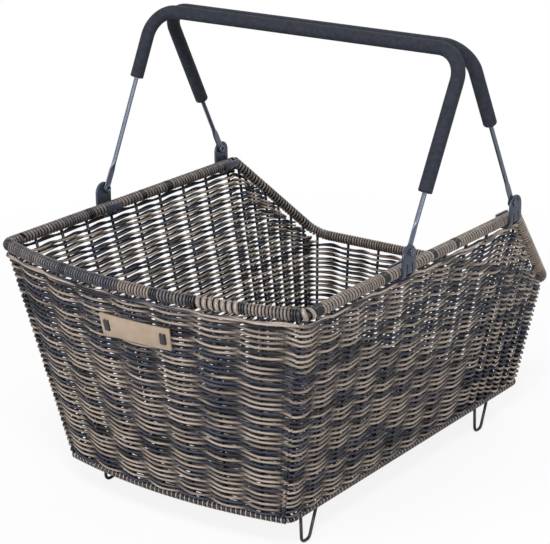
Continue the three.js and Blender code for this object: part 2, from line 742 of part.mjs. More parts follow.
// Base mat: the same weave laid flat over the base wires
function baseMat() {
  const edge = crest + clearance;
  const marks = marksBetween(base.lengths, base.total, -base.total + shortestStep, base.total - shortestStep);
  const outline = marks.map((s) => loopAt(base, s)).map((point) => {
    const inward = v(0, (baseSetback + baseRear) / 2, 0);
    const halfX = baseWidth / 2;
    const x = point.x * (halfX - edge) / halfX;
    const halfY = (baseRear - baseSetback) / 2;
    return new THREE.Vector2(x, inward.y + (point.y - inward.y) * (halfY - edge) / halfY);
  });
  const top = [];
  const wires = [-baseWidth / 2, ...baseWireX, baseWidth / 2];
  for (let i = 1; i < wires.length; i++) {
    top.push([(wires[i - 1] + wires[i]) / 2, valley]);
    if (i < wires.length - 1) top.push([wires[i] - crestHalf, crest], [wires[i] + crestHalf, crest]);
  }
  const ends = [[-baseWidth / 2, valley], [baseWidth / 2, valley]];
  const upper = [ends[0], ...top, ends[1]];
  const section = new THREE.Shape([
    ...upper.map(([x, z]) => new THREE.Vector2(x, z)),
    ...upper.reverse().map(([x, z]) => new THREE.Vector2(x, -z)),
  ]);
  const ribs = extrudeY(section, baseSetback - baseBow, baseRear);
  const plan = new THREE.ExtrudeGeometry(new THREE.Shape(outline), { depth: 4 * crest, bevelEnabled: false });
  const mat = solid(ribs).intersect(solid(plan.translate(0, 0, -2 * crest)));
  return mat.subtract(stakeRoom).subtract(footRoom);
}
addPiece(basket, 'base_weave', geometryOf(baseMat()), caneMaterial);

// Name patch, left blank, laced to the front with two ties
const patchLow = wallHeight(patchOffset) - patchDrop - patchHeight;
const patchLift = crest + patchGap + patchThickness / 2;

function wallPlace(s, h, w) {
  const { foot, top } = ruling(s);
  const up = top.sub(foot).normalize();
  const out = wallNormal(s);
  const along = up.clone().cross(out);
  return new THREE.Matrix4().makeBasis(along, up, out).setPosition(wallPoint(s, h, w));
}

const patchSteps = 6;
const patchStations = Array.from({ length: patchSteps + 1 }, (_, i) => {
  return [patchOffset + patchWidth * (i / patchSteps - 0.5), patchThickness / 2];
});
const patchSlots = [-1, 1].flatMap((side) => [0, 1].map((n) => {
  return patchOffset + side * (patchWidth / 2 - patchSlotInset - n * patchSlotPitch);
}));
let patch = solid(wallSlab(patchStations, patchLow, () => patchLow + patchHeight, patchLift));
for (const s of patchSlots) {
  const slot = new THREE.BoxGeometry(patchSlotWidth, patchSlotHeight, 4 * patchThickness);
  patch = patch.subtract(solid(slot.applyMatrix4(wallPlace(s, patchLow + patchHeight / 2, patchLift))));
}
addPiece(basket, 'name_patch', geometryOf(patch), leatherMaterial);

['left', 'right'].forEach((side, i) => {
  const [outer, inner] = patchSlots.slice(2 * i, 2 * i + 2);
  const reach = patchSlotPitch / 2 + tieThickness / 2;
  const lift = patchThickness / 2 + clearance;
  const staple = new THREE.Shape();
  staple.moveTo(-reach, -lift);
  staple.lineTo(-reach, lift + tieThickness);
  staple.lineTo(reach, lift + tieThickness);
  staple.lineTo(reach, -lift);
  staple.lineTo(reach - tieThickness, -lift);
  staple.lineTo(reach - tieThickness, lift);
  staple.lineTo(-reach + tieThickness, lift);
  staple.lineTo(-reach + tieThickness, -lift);
  const width = patchSlotHeight - 2 * clearance;
  const tie = extrudeY(staple, -width / 2, width / 2);
  tie.applyMatrix4(wallPlace((outer + inner) / 2, patchLow + patchHeight / 2, patchLift));
  addPiece(basket, `${side}_patch_tie`, tie, tieMaterial);
});

// Handles: round wire flattened at its ends, leaning together until the foam touches side by side
const barSpacing = 2 * gripRadius + gripGap;
const handleLean = Math.asin((rearPivot - frontPivot - barSpacing) / 2 / handleLength);

const legX = pivotStrapX;
const smooth = THREE.MathUtils.smoothstep;

// From the top of one strap over the bar to the other, without those two ends
function upperRoute(splay) {
  const topX = legX + splay;
  const corners = [[-legX, strapLength], [-topX, handleLength], [topX, handleLength], [legX, strapLength]]
    .map(([x, z]) => v(x, 0, z));
  return bendWire(corners, [0, handleBend, handleBend, 0]).points.slice(1, -1);
}

function handleRoute(splay) {
  const legStations = [
    ...eyeStations.map((share) => -strapWidth / 2 * share),
    strapLength - forgedLength, strapLength - forgedLength / 2, strapLength,
  ];
  const left = legStations.map((z) => v(-legX, 0, z));
  const right = legStations.map((z) => v(legX, 0, z)).reverse();
  return [...left, ...upperRoute(splay), ...right];
}

// Presses the ends of the wire flat
function flattened(geometry) {
  const place = geometry.attributes.position;
  for (let i = 0; i < place.count; i++) {
    const z = place.getZ(i);
    const roundness = smooth(z, strapLength - forgedLength, strapLength);
    const halfWidth = Math.sqrt((strapWidth / 2) ** 2 - Math.min(z, 0) ** 2);
    const wide = THREE.MathUtils.lerp(halfWidth / handleWireRadius, 1, roundness);
    const thin = THREE.MathUtils.lerp(strapThickness / 2 / handleWireRadius, 1, roundness);
    const side = Math.sign(place.getX(i)) * legX;
    place.setX(i, side + (place.getX(i) - side) * thin);
    place.setY(i, place.getY(i) * wide);
  }
  return geometry;
}

function handleWire(splay) {
  const wire = solid(flattened(sweep(rod(handleWireRadius, wireSides), handleRoute(splay))));
  const reach = legX + strapWidth;
  return geometryOf(wire.subtract(solid(rodBetween(v(-reach, 0, 0), v(reach, 0, 0), strapHole, gripSides))));
}

function gripTube(splay, leftReach, rightReach) {
  const legAt = (side, reach) => {
    const z = handleLength - reach;
    return v(side * (legX + splay * (z - strapLength) / (handleLength - strapLength)), 0, z);
  };
  const route = [legAt(-1, leftReach), ...upperRoute(splay), legAt(1, rightReach)];
  const bore = (handleWireRadius + clearance) / Math.cos(Math.PI / gripSides);
  return sweep(sleeve(gripRadius, bore, gripSides), route);
}

const handleSpots = [
  ['front', frontPivot, -handleLean, frontSplay, frontGripLeft, frontGripRight],
  ['rear', rearPivot, handleLean, rearSplay, rearGripLeft, rearGripRight],
];
for (const [end, y, turn, splay, leftReach, rightReach] of handleSpots) {
  const handle = new THREE.Group();
  handle.position.set(0, y, pivotZ);
  handle.rotation.x = turn;
  addPiece(handle, `${end}_handle_wire`, handleWire(splay), steelMaterial);
  addPiece(handle, `${end}_grip`, gripTube(splay, leftReach, rightReach), foamMaterial);
  basket.add(handle);
}

basket.position.set(0, -overallMiddle, footLift);
const part = new THREE.Group();
part.add(basket);

export default part;
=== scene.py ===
import math
import bpy
import numpy as np
from mathutils import Matrix, Vector


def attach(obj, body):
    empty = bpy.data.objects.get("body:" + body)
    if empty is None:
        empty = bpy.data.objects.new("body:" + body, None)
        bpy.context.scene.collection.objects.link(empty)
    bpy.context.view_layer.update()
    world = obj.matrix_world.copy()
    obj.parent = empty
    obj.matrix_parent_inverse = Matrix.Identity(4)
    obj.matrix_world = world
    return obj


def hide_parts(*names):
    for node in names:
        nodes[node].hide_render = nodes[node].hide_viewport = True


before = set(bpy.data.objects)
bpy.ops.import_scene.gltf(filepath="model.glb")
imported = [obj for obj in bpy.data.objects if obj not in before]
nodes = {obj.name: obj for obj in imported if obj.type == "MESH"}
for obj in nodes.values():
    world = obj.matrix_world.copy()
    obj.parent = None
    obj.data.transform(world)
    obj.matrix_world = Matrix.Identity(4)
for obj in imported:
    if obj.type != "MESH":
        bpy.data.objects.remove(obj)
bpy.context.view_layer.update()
print("frame loaded:", len(nodes), "nodes")

# All shapes below are worked out in millimetres, from the front rim corners (y) and the base wire (z), and
# are moved to the ground under the middle of the basket when their mesh is made.
shell = {
    "rimWidth": 316.0, "rimLength": 322.0, "rimHeight": 196.0,  # the level part of the rim
    "slopeRun": 105.5, "slopeDrop": 97.0, "railWidth": 267.0,  # from there down to the low rear rail
    "baseWidth": 238.0, "baseSetback": 28.0, "railSetback": 21.5,  # the base starts and ends this far inside
    "rimBow": 29.0, "baseBow": 14.5,  # how far the front of each swells forward
    "frontBend": 9.0, "saddleBend": 6.0, "railBend": 20.0, "baseBend": 10.0,
    "bendSteps": 16, "bowSteps": 40,
}
stakeLayout = {
    "frontBays": 8, "foreBays": 4, "middleBays": 5, "closeBays": 7, "rearBays": 7,
    "frontBracket": 133.9, "rearBracket": 309.2,  # where the brackets stand along the sides
    "radius": 1.4, "sides": 12,
    "seam": (0.6, 0.8, 0.02),  # the side on which a stake's mesh starts
}
wires = {"rim": 3.0, "base": 1.75, "sides": 14}
wraps = {"rimOuter": 5.25, "baseOuter": 3.1}
originShift = np.array([0.0, -199.25, 28.1])
nearby = 0.5  # directions along a loop are read this far to each side
grainShift = 700.0  # sets the grain of one strand apart from the next
rng = np.random.default_rng(7)


def vec(x, y, z):
    return np.array([x, y, z], float)


def unit(a):
    return a / np.linalg.norm(a, axis=-1, keepdims=True)


def bendWire(corners, radii, steps):
    # Each inner corner becomes an arc of its radius, tangent to both sides; a radius of 0 keeps the corner.
    points = [corners[0]]
    middles = []
    for before, corner, after, radius in zip(corners, corners[1:], corners[2:], radii):
        if not radius:
            points.append(corner)
            continue
        back, ahead = unit(before - corner), unit(after - corner)
        half = math.acos(float(np.clip(back @ ahead, -1, 1))) / 2
        centre = corner + unit(back + ahead) * radius / math.sin(half)
        start = corner + back * radius / math.tan(half) - centre
        end = corner + ahead * radius / math.tan(half) - centre
        sweep = math.pi - 2 * half
        share = np.linspace(0, 1, steps + 1)[:, None]
        arc = centre + (np.sin(sweep * (1 - share)) * start + np.sin(sweep * share) * end) / math.sin(sweep)
        points.extend(arc)
        middles.append(len(points) - 1 - steps // 2)
    points.append(corners[-1])
    return np.array(points), middles


def halfLoop(halfWidth, cornerY, bow, z, rest, radii):
    # From the middle of the front round the right side to the middle of the rear. The front is a parabola
    # that stands out by the bow in the middle.
    share = np.linspace(0, 1, shell["bowSteps"] + 1)
    front = [vec(halfWidth * k, cornerY - bow * (1 - k * k), z) for k in share]
    points, middles = bendWire(front + rest, [0] * (shell["bowSteps"] - 1) + radii, shell["bendSteps"])
    plan = np.hypot(*np.diff(points[:, :2], axis=0).T)
    lengths = np.concatenate([[0], np.cumsum(plan)])
    return {"points": points, "lengths": lengths, "front": lengths[middles[0]], "rear": lengths[middles[-1]],
            "total": lengths[-1]}


railY = shell["rimLength"] + shell["slopeRun"]
railZ = shell["rimHeight"] - shell["slopeDrop"]
baseRear = railY - shell["railSetback"]
rim = halfLoop(shell["rimWidth"] / 2, 0, shell["rimBow"], shell["rimHeight"],
               [vec(shell["rimWidth"] / 2, shell["rimLength"], shell["rimHeight"]),
                vec(shell["railWidth"] / 2, railY, railZ), vec(0, railY, railZ)],
               [shell["frontBend"], shell["saddleBend"], shell["railBend"]])
base = halfLoop(shell["baseWidth"] / 2, shell["baseSetback"], shell["baseBow"], 0,
                [vec(shell["baseWidth"] / 2, baseRear, 0), vec(0, baseRear, 0)],
                [shell["baseBend"], shell["baseBend"]])


def loopAt(loop, s):
    # The place at length s, measured in plan round the loop by the right side; negative s and s past the rear
    # lie on the left.
    s = np.asarray(s, float)
    length = np.where(s < 0, -s, np.minimum(s, 2 * loop["total"] - s))
    xyz = np.stack([np.interp(length, loop["lengths"], loop["points"][:, i]) for i in range(3)], -1)
    xyz[..., 0] *= np.where((s < 0) | (s > loop["total"]), -1, 1)
    return xyz


def cornerStops(loop):
    whole = 2 * loop["total"]
    return np.array([-loop["front"], 0, loop["front"], loop["rear"], loop["total"], whole - loop["rear"],
                     whole - loop["front"], whole, whole + loop["front"]])


def ruling(s):
    # A straight line up the wall at rim place s: its foot is the matching place on the base, corners to
    # corners and evenly in between.
    return loopAt(base, np.interp(s, cornerStops(rim), cornerStops(base))), loopAt(rim, s)


def wallNormal(s):
    # Across the wall: the direction along it, crossed with the straight line up it.
    footA, topA = ruling(np.asarray(s) - nearby)
    footB, topB = ruling(np.asarray(s) + nearby)
    foot, top = ruling(s)
    return unit(np.cross(footB + topB - footA - topA, top - foot))


def mirrorS(s):
    return 2 * rim["total"] - s


def spaced(start, end, bays):
    return np.linspace(start, end, bays + 1)[1:-1]


def sidePlace(y):
    return float(np.interp(y, rim["points"][:, 1], rim["lengths"]))


cornerStake = rim["front"]
bracketStakes = [sidePlace(stakeLayout["frontBracket"]), sidePlace(stakeLayout["rearBracket"])]
frontStakes = spaced(-cornerStake, cornerStake, stakeLayout["frontBays"])
foreStakes = spaced(cornerStake, bracketStakes[0], stakeLayout["foreBays"])
middleStakes = spaced(*bracketStakes, stakeLayout["middleBays"])
closeStakes = spaced(bracketStakes[1], rim["rear"], stakeLayout["closeBays"])
rearStakes = spaced(rim["rear"], mirrorS(rim["rear"]), stakeLayout["rearBays"])
rightStakes = np.concatenate([[cornerStake], foreStakes, bracketStakes[:1], middleStakes, bracketStakes[1:],
                              closeStakes, [rim["rear"]]])
oneTurn = np.concatenate([frontStakes, rightStakes, rearStakes, mirrorS(rightStakes)[::-1]])
stakeS = np.concatenate([oneTurn - 2 * rim["total"], oneTurn, oneTurn + 2 * rim["total"]])
stakeIndex = np.arange(len(stakeS)) - len(oneTurn)  # 0 is the leftmost front stake


def makeMesh(name, points, loops, sizes, smooth=None, values=None):
    # Points are in shell millimetres. Loops holds the corners of all faces one after another, and sizes how
    # many corners each face has.
    mesh = bpy.data.meshes.new(name)
    metres = (np.asarray(points, float).reshape(-1, 3) + originShift) / 1000
    mesh.vertices.add(len(metres))
    mesh.vertices.foreach_set("co", metres.ravel())
    mesh.loops.add(len(loops))
    mesh.loops.foreach_set("vertex_index", np.asarray(loops, np.int32))
    mesh.polygons.add(len(sizes))
    starts = np.concatenate([[0], np.cumsum(sizes)[:-1]])
    mesh.polygons.foreach_set("loop_start", np.asarray(starts, np.int32))
    mesh.polygons.foreach_set("loop_total", np.asarray(sizes, np.int32))
    mesh.polygons.foreach_set("use_smooth", np.ones(len(sizes), bool) if smooth is None else smooth)
    for label, data in (values or {}).items():
        data = np.asarray(data, np.float32)
        isVector = data.ndim > 1 and data.shape[-1] == 3
        layer = mesh.attributes.new(label, "FLOAT_VECTOR" if isVector else "FLOAT", "POINT")
        layer.data.foreach_set("vector" if isVector else "value", data.ravel())
    mesh.update(calc_edges=True)
    mesh.validate()
    piece = bpy.data.objects.new(name, mesh)
    bpy.context.scene.collection.objects.link(piece)
    return piece


def finishPiece(piece, material, body, slotName, *replaced):
    piece.data.materials.clear()
    piece.data.materials.append(material)
    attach(piece, body)
    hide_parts(*replaced)


def strandValues(centres, angle, tone, depth):
    # Tone is one number along each strand. Grain is a place on it: round it, and the way run in mm. The shade
    # exposure is painted shade: 1 where its skin faces out of the weave and 0 where it faces in, where the
    # strands shade each other; it is half of 1 plus depth times the cosine of the place round it, with depth
    # from -1 inside to 1 outside the weave's middle.
    strands, steps = centres.shape[:2]
    around = np.broadcast_to(angle, (strands, steps, len(angle)))
    pieces = np.linalg.norm(np.diff(centres, axis=1), axis=-1)
    run = np.cumsum(np.pad(pieces, ((0, 0), (1, 0))), 1) + grainShift * np.arange(strands)[:, None]
    way = np.broadcast_to(run[:, :, None], around.shape)
    depths = np.broadcast_to(depth, (strands, steps))[:, :, None]
    return {"tone": np.repeat(np.broadcast_to(tone, (strands, steps)), len(angle)),
            "grain": np.stack([np.cos(around), np.sin(around), way], -1),
            "shadeExposure": (1 + depths * np.cos(around)) / 2}


def tubes(name, centres, lean, across, along, sides, tone=None, depth=1.0, closed=False):
    # Rings carried along paths: centres is (strand, step, xyz), lean the direction that each ring's first
    # axis keeps to, across and along its half sizes on that axis and on the one square to it.
    tangent = np.gradient(centres, axis=1)
    if closed:
        tangent = np.roll(centres, -1, 1) - np.roll(centres, 1, 1)
    tangent = unit(tangent)
    first = unit(lean - tangent * np.sum(lean * tangent, -1, keepdims=True))
    second = np.cross(tangent, first)
    angle = 2 * math.pi * np.arange(sides) / sides
    across = np.asarray(across)[..., None, None] * np.cos(angle)[:, None]
    along = np.asarray(along)[..., None, None] * np.sin(angle)[:, None]
    rings = centres[:, :, None] + first[:, :, None] * across + second[:, :, None] * along
    strands, steps = centres.shape[:2]
    index = np.arange(strands * steps * sides).reshape(strands, steps, sides)
    nextStep = np.roll(index, -1, 1) if closed else index[:, 1:]
    thisStep = index if closed else index[:, :-1]
    quads = np.stack([thisStep, np.roll(thisStep, -1, 2), np.roll(nextStep, -1, 2), nextStep], -1)
    quads = quads.reshape(-1, 4)
    loops = [quads.ravel()]
    sizes = [np.full(len(quads), 4)]
    smooth = [np.ones(len(quads), bool)]
    if not closed:
        caps = np.concatenate([index[:, 0, ::-1], index[:, -1]])
        loops.append(caps.ravel())
        sizes.append(np.full(len(caps), sides))
        smooth.append(np.zeros(len(caps), bool))
    values = None if tone is None else strandValues(centres, angle, tone, depth)
    return makeMesh(name, rings, np.concatenate(loops), np.concatenate(sizes), np.concatenate(smooth), values)


# Materials

def newMaterial(name):
    material = bpy.data.materials.new(name)
    material.use_nodes = True
    tree = material.node_tree
    return material, tree, tree.nodes["Principled BSDF"]


def addNode(tree, kind, inputs=None, **settings):
    node = tree.nodes.new(kind)
    for key, value in settings.items():
        setattr(node, key, value)
    for key, value in (inputs or {}).items():
        if isinstance(value, bpy.types.NodeSocket):
            tree.links.new(value, node.inputs[key])
        else:
            node.inputs[key].default_value = value
    return node


def hexColour(code):
    # From a display colour to Blender's linear one.
    parts = [int(code[i:i + 2], 16) / 255 for i in (0, 2, 4)]
    return [c / 12.92 if c <= 0.04045 else ((c + 0.055) / 1.055) ** 2.4 for c in parts] + [1.0]


def ramp(tree, factor, stops):
    node = addNode(tree, "ShaderNodeValToRGB", {"Fac": factor})
    elements = node.color_ramp.elements
    while len(elements) < len(stops):
        elements.new(0.5)
    for element, (place, code) in zip(elements, stops):
        element.position = place
        element.color = hexColour(code)
    return node.outputs["Color"]


def mixColour(tree, factor, a, b, blend="MIX"):
    node = tree.nodes.new("ShaderNodeMix")
    node.data_type = "RGBA"
    node.blend_type = blend
    for socket, value in ((node.inputs[0], factor), (node.inputs[6], a), (node.inputs[7], b)):
        if isinstance(value, bpy.types.NodeSocket):
            tree.links.new(value, socket)
        else:
            socket.default_value = value
    return node.outputs[2]


def bumpFrom(tree, shader, height, look):
    bump = addNode(tree, "ShaderNodeBump", {"Height": height, "Strength": look["bump"],
                                            "Distance": look["bumpDepth"]})
    tree.links.new(bump.outputs["Normal"], shader.inputs["Normal"])


caneLook = {
    # From the darkest dyed shade to the lightest
    "stops": [(0.0, "12131a"), (0.12, "1c1f2c"), (0.3, "31364a"), (0.42, "51505a"), (0.55, "81756e"),
              (0.7, "a29489"), (0.85, "b1a297"), (1.0, "bcaea2")],
    # painted shade: skin that faces into the weave turns near black, for the shadow between the strands
    "hollowShade": [(0.2, "161618"), (0.5, "969696"), (0.75, "ffffff")], "hollowShadeShare": 0.9,
    "streaks": [(0.3, "8c8c8c"), (0.62, "ffffff")], "streakShare": 0.7,
    "streakScale": 2.0, "streakTurns": 1.6, "streakRun": 0.05,  # drawn out along the strand
    "patchScale": 45.0, "patchReach": 0.16, "detail": 3.0,
    "roughness": 0.4, "specular": 0.3, "bump": 0.3, "bumpDepth": 0.0003,
}
# painted shade in the grooves between the turns of a winding; smoothLook paints only a faint one
woundLook = {**caneLook, "hollowShade": [(0.65, "26262a"), (0.99, "ffffff")], "roughness": 0.32, "specular": 0.5}
smoothLook = {**caneLook, "hollowShade": [(0.5, "808080"), (0.8, "ffffff")]}
coatLook = {
    # Display colour, roughness, metallic share and strength of the fine unevenness
    "coatedWire": ("1d1f25", 0.34, 0.3, 0.12), "handleWireCoat": ("565c68", 0.3, 0.8, 0),
    "coatedSheet": ("343a47", 0.36, 0.45, 0.12), "darkBand": ("191a1f", 0.5, 0.0, 0.12),
    "rolledRivet": ("4a505c", 0.28, 0.8, 0.12),
    "grainScale": 1400.0, "grainDetail": 2.0, "cloudScale": 35.0, "cloudDetail": 3.0,
    "lighter": 1.5, "glossiest": -0.06, "dullest": 0.08, "bumpDepth": 0.0001,
}
foamLook = {
    "mottle": [(0.3, "1d2029"), (0.7, "2b2f3a")], "mottleScale": 220.0, "mottleDetail": 4.0,
    "pores": [(0.05, "707070"), (0.35, "ffffff")], "poreScale": 1500.0, "poreShare": 0.6,
    "roughness": 0.85, "specular": 0.3, "bump": 0.4, "bumpDepth": 0.0002,
}
leatherLook = {
    "shades": [(0.3, "91806d"), (0.7, "a2907d")], "cloudScale": 90.0, "cloudDetail": 5.0,
    "roughness": 0.6, "grainScale": 1100.0, "bump": 0.25, "bumpDepth": 0.0002,
}


def caneMaterial(name, look):
    # Colour by the strand's tone, with streaks that run along it and a slow change from place to place,
    # and painted shade that darkens the skin facing into the weave, where the strands shade each other.
    material, tree, shader = newMaterial(name)
    tone = addNode(tree, "ShaderNodeAttribute", attribute_name="tone").outputs["Fac"]
    grain = addNode(tree, "ShaderNodeAttribute", attribute_name="grain").outputs["Vector"]
    shadeExposure = addNode(tree, "ShaderNodeAttribute", attribute_name="shadeExposure").outputs["Fac"]
    place = addNode(tree, "ShaderNodeTexCoord").outputs["Object"]
    patch = addNode(tree, "ShaderNodeTexNoise", {"Vector": place, "Scale": look["patchScale"],
                                                 "Detail": look["detail"]})
    shifted = addNode(tree, "ShaderNodeMath", {0: patch.outputs["Fac"], 1: 0.5}, operation="SUBTRACT")
    factor = addNode(tree, "ShaderNodeMath", {0: shifted.outputs[0], 1: look["patchReach"], 2: tone},
                     operation="MULTIPLY_ADD")
    colour = ramp(tree, factor.outputs[0], look["stops"])
    stretched = addNode(tree, "ShaderNodeMapping", {
        "Vector": grain, "Scale": (look["streakTurns"], look["streakTurns"], look["streakRun"])})
    fibre = addNode(tree, "ShaderNodeTexNoise", {"Vector": stretched.outputs[0], "Scale": look["streakScale"],
                                                 "Detail": look["detail"]}).outputs["Fac"]
    colour = mixColour(tree, look["streakShare"], colour, ramp(tree, fibre, look["streaks"]), "MULTIPLY")
    # Painted shade: the shade exposure darkens the skin that faces into the weave or onto the wire.
    colour = mixColour(tree, look["hollowShadeShare"], colour, ramp(tree, shadeExposure, look["hollowShade"]), "MULTIPLY")
    tree.links.new(colour, shader.inputs["Base Color"])
    shader.inputs["Roughness"].default_value = look["roughness"]
    shader.inputs["Specular IOR Level"].default_value = look["specular"]
    bumpFrom(tree, shader, fibre, look)
    return material


def coatMaterial(name):
    # A coat on steel: slow clouds make it a little lighter and duller in places, and a fine grain makes it
    # uneven.
    code, roughness, metallic, unevenness = coatLook[name]
    material, tree, shader = newMaterial(name)
    place = addNode(tree, "ShaderNodeTexCoord").outputs["Object"]
    grain = addNode(tree, "ShaderNodeTexNoise", {"Vector": place, "Scale": coatLook["grainScale"],
                                                 "Detail": coatLook["grainDetail"]})
    cloud = addNode(tree, "ShaderNodeTexNoise", {"Vector": place, "Scale": coatLook["cloudScale"],
                                                 "Detail": coatLook["cloudDetail"]}).outputs["Fac"]
    light = [min(1.0, c * coatLook["lighter"]) for c in hexColour(code)[:3]] + [1.0]
    tree.links.new(mixColour(tree, cloud, hexColour(code), light), shader.inputs["Base Color"])
    rough = addNode(tree, "ShaderNodeMapRange", {"Value": cloud, "To Min": roughness + coatLook["glossiest"],
                                                 "To Max": roughness + coatLook["dullest"]})
    tree.links.new(rough.outputs["Result"], shader.inputs["Roughness"])
    shader.inputs["Metallic"].default_value = metallic
    if unevenness:
        bumpFrom(tree, shader, grain.outputs["Fac"], {**coatLook, "bump": unevenness})
    return material


def foamMaterial(name, look):
    # Closed-cell foam: a matt skin with very small pores and faint lighter mottling.
    material, tree, shader = newMaterial(name)
    place = addNode(tree, "ShaderNodeTexCoord").outputs["Object"]
    pores = addNode(tree, "ShaderNodeTexVoronoi", {"Vector": place, "Scale": look["poreScale"]})
    pores = pores.outputs["Distance"]
    mottle = addNode(tree, "ShaderNodeTexNoise", {"Vector": place, "Scale": look["mottleScale"],
                                                  "Detail": look["mottleDetail"]})
    colour = ramp(tree, mottle.outputs["Fac"], look["mottle"])
    colour = mixColour(tree, look["poreShare"], colour, ramp(tree, pores, look["pores"]), "MULTIPLY")
    tree.links.new(colour, shader.inputs["Base Color"])
    shader.inputs["Roughness"].default_value = look["roughness"]
    shader.inputs["Specular IOR Level"].default_value = look["specular"]
    bumpFrom(tree, shader, pores, look)
    return material


def leatherMaterial(name, look):
    # Smooth tan leather: two near shades in clouds, and small round grains.
    material, tree, shader = newMaterial(name)
    place = addNode(tree, "ShaderNodeTexCoord").outputs["Object"]
    cloud = addNode(tree, "ShaderNodeTexNoise", {"Vector": place, "Scale": look["cloudScale"],
                                                 "Detail": look["cloudDetail"]})
    grain = addNode(tree, "ShaderNodeTexVoronoi", {"Vector": place, "Scale": look["grainScale"]})
    tree.links.new(ramp(tree, cloud.outputs["Fac"], look["shades"]), shader.inputs["Base Color"])
    shader.inputs["Roughness"].default_value = look["roughness"]
    bumpFrom(tree, shader, grain.outputs["Distance"], look)
    return material


cane = caneMaterial("twinedCane", caneLook)
woundCane = caneMaterial("woundCane", woundLook)
smoothCane = caneMaterial("smoothCane", smoothLook)
steel = coatMaterial("coatedWire")
handleSteel = coatMaterial("handleWireCoat")
plate = coatMaterial("coatedSheet")
foam = foamMaterial("gripFoam", foamLook)
leather = leatherMaterial("patchLeather", leatherLook)
band = coatMaterial("darkBand")
bright = coatMaterial("rolledRivet")
print("materials made")

# Wire frame

def loopWire(name, loop, radius):
    # Round wire along a whole loop. Its last place is its first one again, so that is dropped.
    s = np.unique(np.concatenate([loop["lengths"], 2 * loop["total"] - loop["lengths"]]))[:-1]
    centres = loopAt(loop, s)[None]
    up = np.broadcast_to(vec(0, 0, 1), centres.shape)
    return tubes(name, centres, up, radius, radius, wires["sides"], closed=True)


def straightWires(name, starts, ends):
    # Round wires straight from each start to its end.
    share = np.linspace(0, 1, 3)[None, :, None]
    centres = starts[:, None] * (1 - share) + ends[:, None] * share
    seam = np.broadcast_to(vec(*stakeLayout["seam"]), centres.shape)
    return tubes(name, centres, seam, stakeLayout["radius"], stakeLayout["radius"], stakeLayout["sides"])


stakeFeet, stakeTops = ruling(oneTurn)
finishPiece(loopWire("rimWire", rim, wires["rim"]), steel, "basket", "steel", "wire_frame")
finishPiece(loopWire("baseWire", base, wires["base"]), steel, "basket", "steel", "wire_frame")
finishPiece(straightWires("uprightWires", stakeFeet, stakeTops), steel, "basket", "steel", "wire_frame")
# The base wires carry on from the feet of the front stakes, which stand on the base's parabola.
baseWireX = ruling(frontStakes)[0][:, 0]
baseFrontY = shell["baseSetback"] - shell["baseBow"] * (1 - (baseWireX / (shell["baseWidth"] / 2)) ** 2)
baseStarts = np.stack([baseWireX, baseFrontY, 0 * baseWireX], -1)
baseEnds = np.stack([baseWireX, 0 * baseWireX + baseRear, 0 * baseWireX], -1)
finishPiece(straightWires("baseCrossWires", baseStarts, baseEnds), steel, "basket", "steel", "wire_frame")
print("wire frame made")

# Twined walls
weave = {
    "rows": 40, "lowest": 5.4, "highest": 187.6,
    "across": 1.1, "along": 1.15, "sides": 6, "stepsPerBay": 14,  # a strand's half sizes and its mesh
    "swing": 2.5,  # how far a strand passes in front of and behind the stakes
    "hop": 1.9, "hopSharpness": 6.0,  # how far and how suddenly it lies up where it comes forward
    "band": 30.0, "bandPitch": 0.68, "bandSoftness": 8.0,  # rows bend down this close under the sloping rim
    "bendReach": 14.0,  # the rim's fall is read this far to each side
    "slopeTop": 8.0, "slopeEnd": 4.0,  # the slope lies between these depths under the rim and the rail
    "cutGap": (0.8, 6.0),  # a row ends this far under the slope
    "openRow": 4.0, "openRowEase": (-4.0, 6.0),  # the row left open under the rear rail, and where it closes
    "sweep": (3.4, 0.8),  # the top row lies outside the stakes: how far, and by how much it swings there
    "waver": 0.6, "waverRun": 40.0, "toneRun": 30.0, "toneHold": 0.66,
    "samples": 600, "fewestSamples": 20,
}
tones = {  # the dyed shades and how often each is met
    "shades": [0.05, 0.2, 0.3, 0.46, 0.58, 0.72, 0.84, 0.95],
    "shares": [0.10, 0.12, 0.10, 0.10, 0.18, 0.22, 0.13, 0.05],
}
rowCount = weave["rows"]
turn = 2 * rim["total"]


def rowNoise(count, spacing, low, high):
    # One line of random knots for each row, joined round the whole basket.
    knots = int(round(turn / spacing))
    values = rng.uniform(low, high, (count, knots))
    return np.concatenate([values, values[:, :1]], 1)


def readNoise(noise, row, s):
    place = np.mod(s, turn) / turn * (noise.shape[1] - 1)
    return np.interp(place, np.arange(noise.shape[1]), noise[row])


def toneNoise(count, spacing, hold):
    # Dyed stretches: each knot keeps the shade of the one before it or takes a new one.
    knots = int(round(turn / spacing))
    picks = rng.choice(tones["shades"], (count, knots), p=tones["shares"])
    fresh = rng.random((count, knots)) > hold
    fresh[:, 0] = True
    latest = np.maximum.accumulate(np.where(fresh, np.arange(knots), 0), 1)
    held = np.take_along_axis(picks, latest, 1)
    return np.concatenate([held, held[:, :1]], 1)


waverNoise = rowNoise(rowCount, weave["waverRun"], -weave["waver"], weave["waver"])
strandTone = toneNoise(2 * rowCount, weave["toneRun"], weave["toneHold"])
cutGap = rng.uniform(*weave["cutGap"], rowCount)


def smoothStep(x, low, high):
    t = np.clip((x - low) / (high - low), 0, 1)
    return t * t * (3 - 2 * t)


def underRim(s):
    # Height of the underside of the wrapped rim, with the slope's longer way through the wrapping, and lower
    # under the rear rail by the row that is left open there.
    step = loopAt(rim, s + 2 * nearby) - loopAt(rim, s - 2 * nearby)
    level = np.hypot(step[..., 0], step[..., 1]) / np.linalg.norm(step, axis=-1)
    half = rim["total"] - rim["rear"]
    easeFrom, easeTo = weave["openRowEase"]
    drop = weave["openRow"] * (1 - smoothStep(np.abs(s - rim["total"]), half + easeFrom, half + easeTo))
    return loopAt(rim, s)[..., 2] - wraps["rimOuter"] / level - drop


